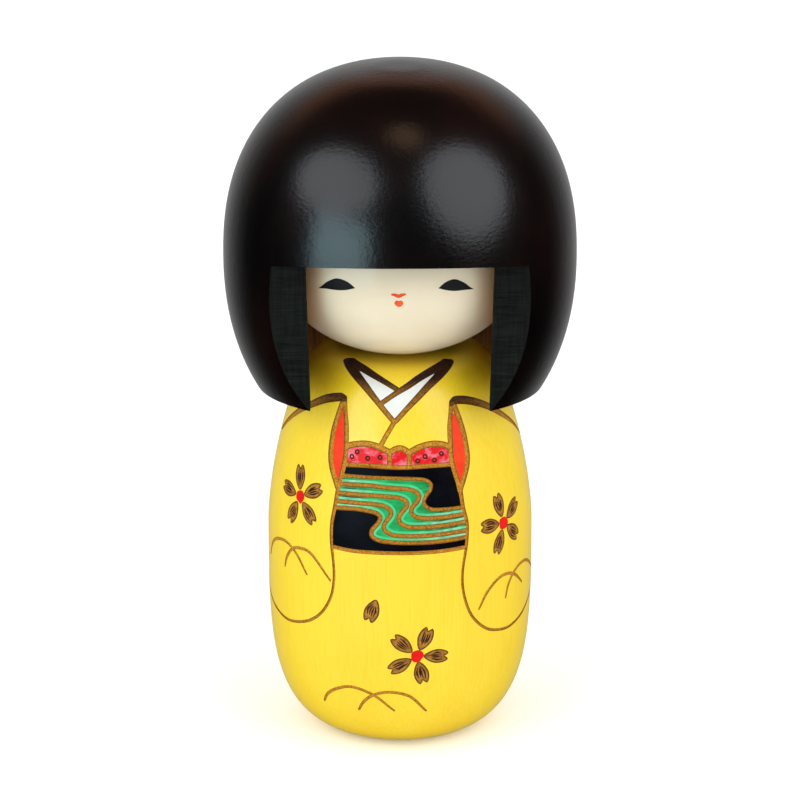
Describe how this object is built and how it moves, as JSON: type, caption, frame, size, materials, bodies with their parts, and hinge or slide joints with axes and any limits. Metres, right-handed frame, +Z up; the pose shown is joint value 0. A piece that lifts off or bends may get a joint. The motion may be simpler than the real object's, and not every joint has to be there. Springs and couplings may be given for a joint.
{
  "type": "kokeshi doll",
  "caption": "Turned wooden doll with a bobbed, hollow hair shell, a round face ball set inside it and a head that turns on a neck dowel.",
  "frame": {"origin": "centre of the flat base", "axes": "+Z up along the turning axis, the face looks along -Y, +X is to the right when the doll is seen from its front"},
  "size_m": [0.077, 0.0765, 0.15],
  "materials": {
    "kimono_stain": "yellow stain under clear semi-gloss lacquer, upright grain",
    "face_paint": "cream paint under clear semi-gloss lacquer",
    "hair_lacquer": "glossy black-brown lacquer, matt on the sawn lock faces",
    "dowel_wood": "bare wood",
    "burnt_line": "burnt and engraved groove, matt",
    "obi_black": "black paint, semi-gloss",
    "stream_green": "green paint, semi-gloss",
    "red_paint": "red paint, semi-gloss",
    "white_paint": "white paint, semi-gloss"
  },
  "bodies": {
    "torso": {"body": "kimono_stain"},
    "head": {"head_ball": "face_paint", "hair_shell": "hair_lacquer", "neck_dowel": "dowel_wood", "crown_dowel": "dowel_wood"}
  },
  "joints": [
    {"name": "neck_turn", "type": "hinge", "parent": "torso", "child": "head", "pos_m": [0, 0, 0.0869], "axis": [0, 0, 1], "continuous": true}
  ]
}
